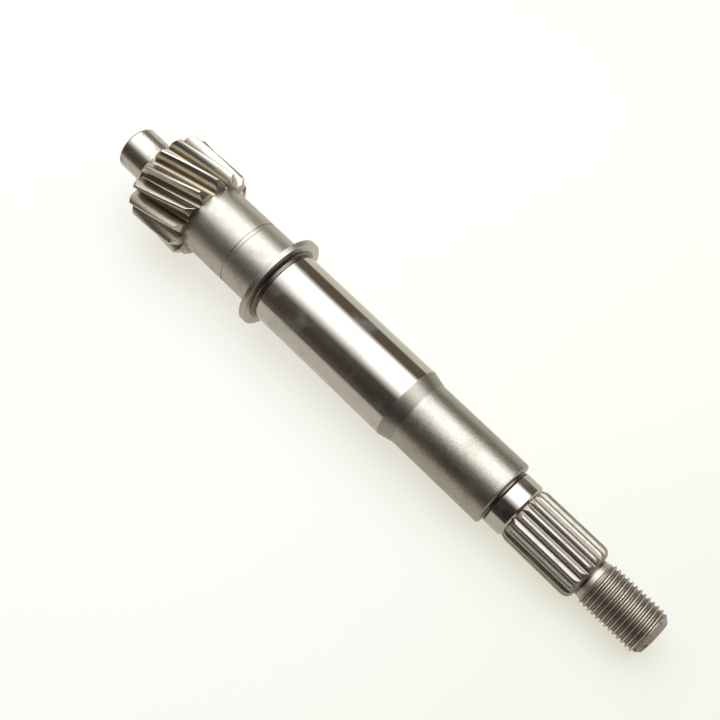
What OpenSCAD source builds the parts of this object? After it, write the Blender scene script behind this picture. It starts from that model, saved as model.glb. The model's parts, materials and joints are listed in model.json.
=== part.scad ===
// Drive shaft turned from one steel bar: pilot journal, helical pinion, plain journal,
// collar, ground bearing seat, shank, sleeve journal, spline and threaded end.
// The shaft lies as it comes to rest, on its collar rim and on the end of its shank.
// Along the shaft, all places are measured from the pilot end towards the threaded end.

/* [Pilot journal] */
// Diameter of the pilot journal
pilot_d = 12; // [10:0.5:14]
// Length of the pilot journal
pilot_len = 10; // [7:0.5:16]
// Chamfer on the pilot end
pilot_chamfer = 0.5; // [0.2:0.1:1]
// Diameter of the shoulder between pilot and pinion
hub_d = 17; // [15:0.5:18]
// Length of that shoulder
hub_len = 1.5; // [0.6:0.1:3]

/* [Pinion] */
// Number of pinion teeth
pinion_teeth = 14; // [13:1:16]
// Normal module of the teeth
pinion_module = 1.5; // [1.4:0.05:1.6]
// Left-hand helix angle at the pitch circle, degrees
pinion_helix = 15; // [10:1:20]
// Normal pressure angle, degrees
pinion_pressure = 20; // [18:0.5:22]
// Profile shift in modules
pinion_shift = 0.45; // [0.35:0.05:0.55]
// Radius where a flank runs into the gap floor
pinion_fillet = 0.45; // [0.3:0.05:0.5]
// Face width of the pinion
pinion_face = 17.5; // [12:0.5:24]
// Length of the bevel on the tooth ends towards the pilot
pilot_bevel_len = 1.1; // [0.5:0.1:2.5]
// Length of the bevel on the tooth ends towards the collar
collar_bevel_len = 1.4; // [0.5:0.1:2.5]
// Depth of both bevels below the tooth tips
tooth_bevel_depth = 1.5; // [0.5:0.1:2.5]
// Turn of the first pinion tooth about the shaft, degrees
pinion_turn = 4.6; // [0:0.1:25]

/* [Journal and collar] */
// Diameter of the plain journal between pinion and collar
journal_d = 19; // [18:0.2:19.4]
// Length of the plain journal
journal_len = 24; // [18:0.2:34]
// Place of the journal groove, from the pinion
groove_at = 13.5; // [4:0.1:16]
// Width of the journal groove
groove_w = 1.2; // [0.6:0.1:2]
// Depth of the journal groove
groove_depth = 0.2; // [0.1:0.05:0.6]
// Diameter of the collar
collar_d = 26; // [24:0.5:30]
// Thickness of the collar
collar_t = 1.5; // [1:0.1:4]
// Rounding of the collar rim
collar_round = 0.15; // [0.1:0.05:0.4]

/* [Bearing seat] */
// Diameter of the ground seat
seat_d = 20; // [19.5:0.5:22]
// Length of the seat, from its relief to its cone
seat_len = 42; // [30:0.5:55]
// Radius of the fillet at the foot of the collar
collar_fillet = 0.5; // [0.4:0.1:1.2]
// Width of the grinding relief's floor beside the collar
relief_w = 0.5; // [0.4:0.1:1.2]
// Length of the slope from the relief up to the seat
relief_run = 0.5; // [0.2:0.1:1]
// Depth of the grinding relief
relief_depth = 0.2; // [0.1:0.05:0.4]
// Length of the cone from the seat down to the shank
cone_len = 4.1; // [2:0.1:8]

/* [Shank and sleeve journal] */
// Diameter of the shank
shank_d = 18; // [17:0.5:19]
// Length of the shank
shank_len = 27.4; // [18:0.2:40]
// Rounding of the shank end
shank_round = 0.9; // [0.3:0.1:1.2]
// Diameter of the ground sleeve journal
sleeve_d = 15; // [14:0.5:15.5]
// Length of the sleeve journal
sleeve_len = 5; // [3:0.1:9]
// Diameter at the bottom of the notch between sleeve journal and spline teeth
notch_d = 13.8; // [13.6:0.1:14.2]
// Width of the undercut's floor between shank and sleeve journal
undercut_w = 0.5; // [0.4:0.1:1.5]
// Length of the slope from the undercut up to the sleeve journal
undercut_run = 0.5; // [0.2:0.1:1]
// Depth of that undercut below the sleeve journal
undercut_depth = 0.3; // [0.1:0.1:0.8]

/* [Spline] */
// Number of spline teeth
spline_teeth = 19; // [17:1:20]
// Diameter over the spline teeth
spline_d = 14.8; // [14.2:0.1:15]
// Diameter at the foot of the spline teeth
spline_root_d = 13.5; // [13.5:0.1:13.9]
// Width of a spline tooth's top
spline_land = 0.6; // [0.4:0.05:0.7]
// Width of the floor between two spline teeth
spline_floor = 0.3; // [0.2:0.05:0.5]
// Length of the spline
spline_len = 20.7; // [14:0.1:30]
// Length of the lead-in bevel, from the notch to the spline's tooth tops
spline_bevel_len = 1.3; // [0.5:0.1:2]
// Rounding of the spline end towards the neck
spline_round = 2.1; // [1:0.1:2.2]
// Turn of the first spline tooth about the shaft, degrees
spline_turn = 16.5; // [0:0.1:20]

/* [Threaded end] */
// Diameter of the neck before the thread
neck_d = 10.2; // [9.5:0.1:10.5]
// Length of the neck
neck_len = 2.4; // [1.5:0.1:5]
// Length of the cone from the neck up to the thread
neck_cone_len = 0.9; // [0.5:0.1:1.3]
// Outer diameter of the thread, here a plain cylinder
thread_d = 12; // [11:0.5:13]
// Length of the threaded end
thread_len = 16.8; // [12:0.1:25]
// Length of the chamfer on the threaded end
tip_chamfer_len = 1.8; // [0.8:0.1:2.5]
// Depth of that chamfer
tip_chamfer_depth = 1.6; // [0.8:0.1:2.5]

/* [Centre holes] */
// Mouth diameter of the lathe centre in each end
centre_d = 4; // [2:0.5:6]
// Angle of the centre, degrees
centre_angle = 60; // [50:5:90]

/* [Hidden] */

// Rounds and arcs
$fn = 96;
arc_steps = 6;
// How far turned stock reaches into the toothed zones
overlap = 0.5;
// How far a spline flank is cut past the tooth top, as a share of its height
flank_reach = 1.2;
// How far the turned core lies below the foot of the spline teeth
core_depth = 0.1;

// Places along the shaft
pinion_z = pilot_len + hub_len;
journal_z = pinion_z + pinion_face;
collar_z = journal_z + journal_len;
collar_end_z = collar_z + collar_t;
relief_z = collar_end_z + collar_fillet;
seat_z = relief_z + relief_w + relief_run;
cone_z = seat_z + seat_len;
shank_z = cone_z + cone_len;
shank_end_z = shank_z + shank_len;
sleeve_z = shank_end_z + undercut_w + undercut_run;
spline_z = sleeve_z + sleeve_len;
neck_z = spline_z + spline_len;
thread_z = neck_z + neck_len;
shaft_len = thread_z + thread_len;

// Involute of the pinion in the plane across the shaft
transverse_pressure = atan(tan(pinion_pressure) / cos(pinion_helix));
pitch_r = pinion_module * pinion_teeth / cos(pinion_helix) / 2;
base_r = pitch_r * cos(transverse_pressure);
tip_r = pitch_r + pinion_module * (1 + pinion_shift);
root_r = pitch_r - pinion_module * (1.25 - pinion_shift);
flank_start_r = max(base_r, root_r + pinion_fillet);
pitch_thickness = PI * pitch_r / pinion_teeth
    + 2 * pinion_shift * pinion_module * tan(transverse_pressure);
base_half_angle = pitch_thickness / pitch_r / 2 * 180 / PI + involute(transverse_pressure);
pinion_twist = pinion_face * tan(pinion_helix) / pitch_r * 180 / PI;
flank_steps = 5;
fillet_steps = 3;
twist_slices = 12;

// Pose at rest: one plane touches the shaft on each side of the middle of its seat.
// A support is a corner of the outline, as place, radius and rounding.
pinion_side_supports = [
    [collar_z + collar_round, collar_d / 2 - collar_round, collar_round],
    [collar_end_z - collar_round, collar_d / 2 - collar_round, collar_round],
    [journal_z - collar_bevel_len, tip_r, 0]
];
thread_side_supports = [
    [cone_z, seat_d / 2, 0],
    [shank_end_z - shank_round, shank_d / 2 - shank_round, shank_round],
    [neck_z - spline_round, spline_d / 2 - spline_round, spline_round],
    [shaft_len - tip_chamfer_len, thread_d / 2, 0]
];
seat_middle = seat_z + seat_len / 2;
rests = [
    for (near = pinion_side_supports) for (far = thread_side_supports)
    let (tilt = plane_tilt(near, far), height = plane_height(near, tilt))
    [(height - sin(tilt) * seat_middle) / cos(tilt), tilt, height]
];
widest_reach = max([for (rest = rests) rest[0]]);
rest_pose = [for (rest = rests) if (rest[0] == widest_reach) rest][0];
rest_tilt = rest_pose[1];
rest_height = rest_pose[2];
pilot_end_r = pilot_d / 2 - pilot_chamfer;
thread_end_r = thread_d / 2 - tip_chamfer_depth;
rest_middle = (shaft_len * cos(rest_tilt) + (thread_end_r - pilot_end_r) * sin(rest_tilt)) / 2;

// Slope of the plane that touches two supports
function plane_tilt(near, far) =
    atan2(near[1] - far[1], far[0] - near[0])
    + asin((near[2] - far[2]) / norm([far[0] - near[0], near[1] - far[1]]));

// Distance from that plane to the middle of the pilot end
function plane_height(support, tilt) =
    sin(tilt) * support[0] + cos(tilt) * support[1] + support[2];

// Involute function in degrees
function involute(angle) = tan(angle) * 180 / PI - angle;

// Point at a radius and an angle
function polar(r, angle) = [r * cos(angle), r * sin(angle)];

// Arc about a centre from one angle to another
function arc(centre, r, from, to) = [
    for (i = [0:arc_steps]) centre + polar(r, from + (to - from) * i / arc_steps)
];

// Half the angle that a pinion tooth takes up at a radius
function tooth_half_angle(r) =
    r <= base_r ? base_half_angle : base_half_angle - involute(acos(base_r / r));

// One flank from the gap floor to the tip, as radius and half angle
function flank() = concat(
    [for (i = [0:fillet_steps - 1])
        let (turn = 90 * i / fillet_steps)
        [root_r + (flank_start_r - root_r) * (1 - cos(turn)),
         base_half_angle + pinion_fillet / root_r * (1 - sin(turn)) * 180 / PI]],
    [for (i = [0:flank_steps])
        let (r = flank_start_r + (tip_r - flank_start_r) * i / flank_steps)
        [r, tooth_half_angle(r)]]
);

// Section of the pinion across the shaft
module pinion_section() {
    side = flank();
    last = len(side) - 1;
    polygon([
        for (tooth = [0:pinion_teeth - 1])
        let (middle = pinion_turn + 360 * tooth / pinion_teeth)
        for (i = [0:2 * last + 1])
        i <= last
            ? polar(side[i][0], middle - side[i][1])
            : polar(side[2 * last + 1 - i][0], middle + side[2 * last + 1 - i][1])
    ]);
}

// Turned blank of the pinion with bevelled tooth ends
module pinion_blank() {
    bevel_r = tip_r - tooth_bevel_depth;
    polygon([
        [0, 0],
        [bevel_r, 0],
        [tip_r + overlap, pilot_bevel_len * (1 + overlap / tooth_bevel_depth)],
        [tip_r + overlap, pinion_face - collar_bevel_len * (1 + overlap / tooth_bevel_depth)],
        [bevel_r, pinion_face],
        [0, pinion_face]
    ]);
}

// Helical pinion, cut from its blank
module pinion() {
    translate([0, 0, pinion_z])
    intersection() {
        linear_extrude(height = pinion_face, twist = pinion_twist, slices = twist_slices)
            pinion_section();
        rotate_extrude()
            pinion_blank();
    }
}

// Section of the spline across the shaft, with its flanks run on past the tooth tops
module spline_section() {
    land_half = spline_land / spline_d * 180 / PI;
    floor_half = spline_floor / spline_root_d * 180 / PI;
    foot_half = 180 / spline_teeth - floor_half;
    polygon([
        for (tooth = [0:spline_teeth - 1])
        let (middle = spline_turn + 360 * tooth / spline_teeth)
        for (step = [[-1, 0], [-1, flank_reach], [1, flank_reach], [1, 0]])
        let (foot = polar(spline_root_d / 2, middle + step[0] * foot_half),
             top = polar(spline_d / 2, middle + step[0] * land_half))
        foot + step[1] * (top - foot)
    ]);
}

// Turned blank of the spline: its lead-in bevel starts inside the sleeve journal and comes out
// at the bottom of the notch, and its other end is rounded
module spline_blank() {
    r = spline_d / 2;
    polygon(concat(
        [[0, -spline_bevel_len], [notch_d - r, -spline_bevel_len], [r, spline_bevel_len]],
        arc([r - spline_round, spline_len - spline_round], spline_round, 0, 90),
        [[0, spline_len]]
    ));
}

// Straight spline, cut from its blank
module spline() {
    translate([0, 0, spline_z])
    intersection() {
        translate([0, 0, -spline_bevel_len])
        linear_extrude(height = spline_len + spline_bevel_len)
            spline_section();
        rotate_extrude()
            spline_blank();
    }
}

// Half outline of all that is turned, from the axis outwards
module turned_outline() {
    pilot_r = pilot_d / 2;
    journal_r = journal_d / 2;
    groove_z = journal_z + groove_at;
    collar_r = collar_d / 2;
    seat_r = seat_d / 2;
    shank_r = shank_d / 2;
    sleeve_r = sleeve_d / 2;
    notch_r = notch_d / 2;
    core_r = spline_root_d / 2 - core_depth;
    neck_r = neck_d / 2;
    thread_r = thread_d / 2;
    centre_r = centre_d / 2;
    centre_depth = centre_r / tan(centre_angle / 2);
    polygon(concat(
        [[0, centre_depth], [centre_r, 0], [pilot_end_r, 0]],
        [[pilot_r, pilot_chamfer], [pilot_r, pilot_len]],
        [[hub_d / 2, pilot_len], [hub_d / 2, pinion_z + overlap]],
        [[journal_r, pinion_z + overlap], [journal_r, groove_z]],
        [[journal_r - groove_depth, groove_z], [journal_r - groove_depth, groove_z + groove_w]],
        [[journal_r, groove_z + groove_w], [journal_r, collar_z]],
        arc([collar_r - collar_round, collar_z + collar_round], collar_round, -90, 0),
        arc([collar_r - collar_round, collar_end_z - collar_round], collar_round, 0, 90),
        arc([seat_r - relief_depth + collar_fillet, relief_z], collar_fillet, 270, 180),
        [[seat_r - relief_depth, seat_z - relief_run], [seat_r, seat_z], [seat_r, cone_z]],
        [[shank_r, shank_z]],
        arc([shank_r - shank_round, shank_end_z - shank_round], shank_round, 0, 90),
        [[sleeve_r - undercut_depth, shank_end_z]],
        [[sleeve_r - undercut_depth, sleeve_z - undercut_run], [sleeve_r, sleeve_z]],
        [[sleeve_r, spline_z - (sleeve_r - notch_r)], [core_r, spline_z + notch_r - core_r]],
        [[core_r, neck_z - spline_round]],
        [[neck_r, neck_z - spline_round], [neck_r, thread_z - neck_cone_len]],
        [[thread_r, thread_z], [thread_r, shaft_len - tip_chamfer_len]],
        [[thread_end_r, shaft_len], [centre_r, shaft_len], [0, shaft_len - centre_depth]]
    ));
}

// The whole shaft, upright on its pilot end
module upright_shaft() {
    rotate_extrude()
        turned_outline();
    pinion();
    spline();
}

// The shaft as it lies, threaded end lower
module drive_shaft() {
    color([0.72, 0.71, 0.68])
    translate([-rest_middle, 0, rest_height])
    rotate([0, 90 + rest_tilt, 0])
    upright_shaft();
}

drive_shaft();
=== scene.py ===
"""Looks of a drive shaft in bare steel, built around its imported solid.

The shaft's skin is one closed grid of rings along the shaft and columns round it. Sizes are in
millimetres, places along the shaft are measured from the pilot end, and meshes are in metres.
"""

from __future__ import annotations

import json
import logging
import math
from dataclasses import dataclass
from enum import Enum, IntEnum
from typing import Any, Mapping, Sequence, Union

import bmesh
import bpy
import numpy as np
from mathutils import Matrix, Vector

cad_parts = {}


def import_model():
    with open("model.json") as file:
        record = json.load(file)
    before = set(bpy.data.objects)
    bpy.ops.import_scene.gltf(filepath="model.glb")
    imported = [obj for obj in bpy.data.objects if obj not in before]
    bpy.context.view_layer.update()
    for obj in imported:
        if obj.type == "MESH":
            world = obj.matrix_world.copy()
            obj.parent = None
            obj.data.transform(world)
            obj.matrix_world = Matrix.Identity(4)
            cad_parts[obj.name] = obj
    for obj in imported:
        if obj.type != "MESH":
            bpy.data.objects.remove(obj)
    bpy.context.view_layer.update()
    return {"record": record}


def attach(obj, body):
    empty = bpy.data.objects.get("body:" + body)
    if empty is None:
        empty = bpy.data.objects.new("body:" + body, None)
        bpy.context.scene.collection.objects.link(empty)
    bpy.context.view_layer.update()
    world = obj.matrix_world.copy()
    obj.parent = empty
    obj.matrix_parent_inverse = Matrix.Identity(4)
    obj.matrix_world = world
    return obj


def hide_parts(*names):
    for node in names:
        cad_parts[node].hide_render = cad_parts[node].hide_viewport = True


LOG = logging.getLogger("drive_shaft")

MM = 0.001
MICRON = 0.000001
NODE = "drive_shaft"
BODY = "root"
PIECE = "shaft_skin"

PINION_TEETH = 14
SPLINE_TEETH = 19
# Each pinion tooth has as many columns as the spline has teeth, so one grid suits both
PINION_COLUMNS = SPLINE_TEETH
COLUMNS = PINION_TEETH * PINION_COLUMNS
CORNER_RINGS = 4

# Places and radii where two zones meet, and the lathe centre that both ends have
PINION_BEGIN = 11.5
PINION_END = 29.0
SPLINE_BEGIN = 135.5
SPLINE_END = 156.2
HUB_RADIUS = 8.5
JOURNAL_RADIUS = 9.5
NOTCH_RADIUS = 6.9
NECK_RADIUS = 5.1
CENTRE_RADIUS = 2.0
CENTRE_DEPTH = CENTRE_RADIUS / math.tan(math.radians(30.0))

Colour = tuple[float, float, float]
Fade = tuple[float, float]


def degrees(low: float, high: float) -> Fade:
    """The two angles between which something fades, from degrees to radians."""
    return math.radians(low), math.radians(high)


class Zone(IntEnum):
    """The finishes of the shaft, in the order of the mesh's material slots."""

    GROUND = 0
    PILOT = 1
    SATIN = 2
    SHANK = 3
    TURNED = 4
    PINION = 5
    SPLINE = 6
    NECK = 7
    THREAD = 8
    RIM = 9
    FACE = 10
    # Dark brown painted shade in recesses: the collar's fillet and relief, the undercut before the
    # sleeve and the neck beside the spline
    FOOT = 11
    CONE = 12
    TIP = 13


class Pattern(Enum):
    """What a finish shows besides its grain."""

    PLAIN = "plain"
    # Crests keep the finish's tint, and the valleys between them get a darker colour of painted shade
    CRESTS = "crests"


# Arithmetic on sockets and one way to make a node


class Shade:
    """A socket of a shader tree that takes part in Python arithmetic."""

    def __init__(self, sheet: "NodeSheet", socket: bpy.types.NodeSocket) -> None:
        """Keeps the tree and the output socket."""
        self.sheet = sheet
        self.socket = socket

    def math(self, operation: str, first: "Operand", second: "Operand" = 0.0) -> "Shade":
        """Adds one Math node.

        Args:
            operation: Blender's name of the operation.
            first: first operand.
            second: second operand.

        Returns:
            The node's value.
        """
        return self.sheet.make("ShaderNodeMath", {"operation": operation}, {0: first, 1: second})

    def __add__(self, other: "Operand") -> "Shade":
        """Sum."""
        return self.math("ADD", self, other)

    def __radd__(self, other: "Operand") -> "Shade":
        """Sum with a number on the left."""
        return self.math("ADD", other, self)

    def __sub__(self, other: "Operand") -> "Shade":
        """Difference."""
        return self.math("SUBTRACT", self, other)

    def __rsub__(self, other: "Operand") -> "Shade":
        """Difference from a number on the left."""
        return self.math("SUBTRACT", other, self)

    def __mul__(self, other: "Operand") -> "Shade":
        """Product."""
        return self.math("MULTIPLY", self, other)

    def __rmul__(self, other: "Operand") -> "Shade":
        """Product with a number on the left."""
        return self.math("MULTIPLY", other, self)

    def __neg__(self) -> "Shade":
        """Value with its sign turned."""
        return self.math("MULTIPLY", self, -1.0)

    def step(self, low: float, high: float) -> "Shade":
        """Smooth step from 0 at low to 1 at high.

        Args:
            low: value that gives 0.
            high: value that gives 1.

        Returns:
            The smooth step.
        """
        settings = {"interpolation_type": "SMOOTHSTEP"}
        return self.sheet.make("ShaderNodeMapRange", settings, {0: self, 1: low, 2: high})


Operand = Union[Shade, float]
Value = Union[Shade, float, Sequence[float]]


class NodeSheet:
    """A shader tree that is filled node by node."""

    def __init__(self, tree: bpy.types.NodeTree) -> None:
        """Clears the tree and keeps it."""
        self.tree = tree
        tree.nodes.clear()

    def make(
        self,
        kind: str,
        settings: Mapping[str, Any],
        inputs: Mapping[Union[int, str], Value],
        output: Union[int, str] = 0,
    ) -> Shade:
        """Adds a node, applies its settings, then fills its sockets.

        Args:
            kind: Blender's node type.
            settings: attributes of the node.
            inputs: values or links by socket name or number; a plain colour gets its alpha here.
            output: the output to return.

        Returns:
            The chosen output.
        """
        node = self.tree.nodes.new(kind)
        for name, setting in settings.items():
            setattr(node, name, setting)
        for key, value in inputs.items():
            socket = node.inputs[key]
            if isinstance(value, Shade):
                self.tree.links.new(value.socket, socket)
            elif socket.type == "RGBA":
                socket.default_value = (*value, 1.0)
            else:
                socket.default_value = value
        return Shade(self, node.outputs[output]) if node.outputs else Shade(self, None)

    def place(self) -> Shade:
        """Object coordinates."""
        return self.make("ShaderNodeTexCoord", {}, {}, output="Object")

    def axes(self, place: Shade) -> list[Shade]:
        """The three coordinates of a point."""
        first = self.make("ShaderNodeSeparateXYZ", {}, {0: place})
        return [Shade(self, socket) for socket in first.socket.node.outputs]

    def scale(self, colour: Value, factor: Operand) -> Shade:
        """A colour times a factor."""
        inputs = {0: colour, "Scale": factor}
        return self.make("ShaderNodeVectorMath", {"operation": "SCALE"}, inputs)

    def mix(self, factor: Operand, first: Value, second: Value) -> Shade:
        """Mixes two colours.

        Args:
            factor: share of the second colour.
            first: first colour.
            second: second colour.

        Returns:
            The mixed colour.
        """
        settings = {"data_type": "RGBA"}
        return self.make("ShaderNodeMix", settings, {0: factor, 6: first, 7: second}, output=2)

    def close(self, surface: Shade) -> None:
        """Leads a shader to the material's output."""
        self.make("ShaderNodeOutputMaterial", {}, {"Surface": surface})


def new_material(name: str) -> tuple[bpy.types.Material, NodeSheet]:
    """Makes a material and the sheet for its shader tree."""
    material = bpy.data.materials.new(name)
    material.use_nodes = True
    return material, NodeSheet(material.node_tree)


# The shaft's place and the grid that all zones share


@dataclass(frozen=True)
class Pose:
    """Where the shaft lies: the middle of its pilot end and the direction of its axis."""

    origin: np.ndarray
    axis: np.ndarray

    PILOT_MIDDLE = 5.25

    @classmethod
    def from_record(cls, record: Mapping[str, Any]) -> "Pose":
        """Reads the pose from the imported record's pilot journal.

        Args:
            record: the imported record.

        Returns:
            The pose, with its axis pointing from the pilot end to the threaded end.
        """
        mount = next(m for m in record["mounts"] if m["name"] == "pilot_journal")
        axis = -np.array(mount["axis"], float)
        axis /= np.linalg.norm(axis)
        origin = np.array(mount["pos_m"], float) - axis * cls.PILOT_MIDDLE * MM
        return cls(origin, axis)

    @property
    def tilt(self) -> float:
        """Angle by which the threaded end lies lower, in radians."""
        return math.atan2(-self.axis[2], self.axis[0])

    @property
    def down(self) -> np.ndarray:
        """Direction of angle 0 round the shaft."""
        return np.array([self.axis[2], 0.0, -self.axis[0]])

    @property
    def side(self) -> np.ndarray:
        """Direction of a quarter turn round the shaft."""
        return np.array([0.0, 1.0, 0.0])

    def place(self, along: np.ndarray, radius: np.ndarray, angle: np.ndarray) -> np.ndarray:
        """Points of the row frame: origin plus along times the axis, plus radius times the
        direction that the angle gives in the plane across the shaft.

        Args:
            along: places along the shaft, mm.
            radius: distances from the axis, mm.
            angle: angles round the shaft, radians.

        Returns:
            Points in metres, with one more dimension than the inputs.
        """
        across = np.cos(angle)[..., None] * self.down + np.sin(angle)[..., None] * self.side
        return self.origin + MM * (along[..., None] * self.axis + radius[..., None] * across)


@dataclass
class Patch:
    """A grid of skin points, with rings along the shaft and columns round it.

    The last column meets the first one, "wrap" rings further on: 0 on a turned zone, and the
    rings of one turn on a thread.
    """

    along: np.ndarray
    radius: np.ndarray
    angle: np.ndarray
    zones: np.ndarray
    wrap: int = 0

    def quads(self) -> np.ndarray:
        """Corners of all quads, counted inside the patch, in outward order."""
        rings = self.along.shape[0]
        number = np.arange(rings * COLUMNS).reshape(rings, COLUMNS)
        beside = np.empty_like(number)
        beside[:, :-1] = number[:, 1:]
        shifted = np.minimum(np.arange(rings) + self.wrap, rings - 1)
        beside[:, -1] = number[shifted, 0]
        corners = (number[:-1], beside[:-1], beside[1:], number[1:])
        return np.stack(corners, axis=-1).reshape(-1, 4)

    def quad_zones(self) -> np.ndarray:
        """Finish of each quad, from one number a ring or one number a quad."""
        rings = self.along.shape[0] - 1
        return np.broadcast_to(self.zones.reshape(rings, -1), (rings, COLUMNS)).ravel()


def even_angles(phase: float) -> np.ndarray:
    """Angles of evenly spaced columns: a full turn shared out, plus the phase in radians."""
    return 2 * np.pi * np.arange(COLUMNS) / COLUMNS + phase


@dataclass(frozen=True)
class Corner:
    """A corner of a turned outline: its place, its radius, the finish of the stretch that follows
    it, and how far its rounding reaches along both sides."""

    along: float
    radius: float
    zone: Zone
    setback: float = 0.0


def turned_patch(corners: Sequence[Corner], phase: float, first: np.ndarray | None = None) -> Patch:
    """Carries a turned outline round the axis.

    Each corner P becomes a short curve (1-t)^2 A + 2 t (1-t) P + t^2 B, where A and B lie one
    setback before and after it. Each stretch between two such curves gets a ring close to either
    end, so that shading stays true on the long surfaces.

    Args:
        corners: the outline, from the pilot end on.
        phase: angle of the first column, radians.
        first: angles of the first ring's columns where they aren't even.

    Returns:
        The patch.
    """
    hold = 0.12
    points = np.array([(c.along, c.radius) for c in corners], float)
    reach = np.array([c.setback for c in corners], float)
    run = np.diff(points, axis=0)
    length = np.linalg.norm(run, axis=1)
    unit = run / length[:, None]
    before = np.vstack([unit[:1] * 0.0, unit])
    after = np.vstack([unit, unit[:1] * 0.0])
    start = points - before * reach[:, None]
    end = points + after * reach[:, None]
    t = np.linspace(0.0, 1.0, CORNER_RINGS)[None, :, None]
    curve = (1 - t) ** 2 * start[:, None] + 2 * t * (1 - t) * points[:, None] + t**2 * end[:, None]
    free = np.minimum(hold, (length - reach[:-1] - reach[1:]) / 3)[:, None]
    near = end[:-1] + unit * free
    far = start[1:] - unit * free
    holds = np.stack([near, far], axis=1)
    rows = np.concatenate([curve[:-1], holds], axis=1).reshape(-1, 2)
    rows = np.vstack([rows, curve[-1]])
    zones = np.repeat([int(c.zone) for c in corners], CORNER_RINGS + 2)[: len(rows) - 1]
    along = np.repeat(rows[:, :1], COLUMNS, axis=1)
    radius = np.repeat(rows[:, 1:], COLUMNS, axis=1)
    angle = np.repeat(even_angles(phase)[None], len(rows), axis=0)
    if first is not None:
        angle[: CORNER_RINGS + 1] = first
    return Patch(along, radius, angle, zones)


def toothed_patch(
    place: np.ndarray,
    tooth: tuple[np.ndarray, np.ndarray],
    turn: np.ndarray,
    teeth: int,
    ends: tuple[float, float],
    zone: Zone,
) -> Patch:
    """Repeats a tooth round the shaft and closes both ends onto round rings.

    A column's angle is its tooth's number times the pitch, plus its own angle from the tooth's
    middle, plus the turn of its station.

    Args:
        place: places of the stations along the shaft, mm.
        tooth: radii and angles of one tooth, stations by columns of one tooth.
        turn: turn of the teeth at each station, radians.
        teeth: number of teeth.
        ends: radii of the round rings before and after the teeth, mm.
        zone: finish of the teeth.

    Returns:
        The patch.
    """
    radius, offset = tooth
    pitch = 2 * np.pi / teeth * np.arange(teeth)
    angle = pitch[None, :, None] + offset[:, None, :] + turn[:, None, None]
    angle = angle.reshape(len(place), COLUMNS)
    first, last = (np.full((1, COLUMNS), end) for end in ends)
    radius = np.vstack([first, np.tile(radius, (1, teeth)), last])
    angle = np.vstack([angle[:1], angle, angle[-1:]])
    place = np.concatenate([place[:1], place, place[-1:]])
    along = np.repeat(place[:, None], COLUMNS, axis=1)
    zones = np.full(len(place) - 1, int(zone))
    return Patch(along, radius, angle, zones)


# Zones of the shaft, from the pilot end on


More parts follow.
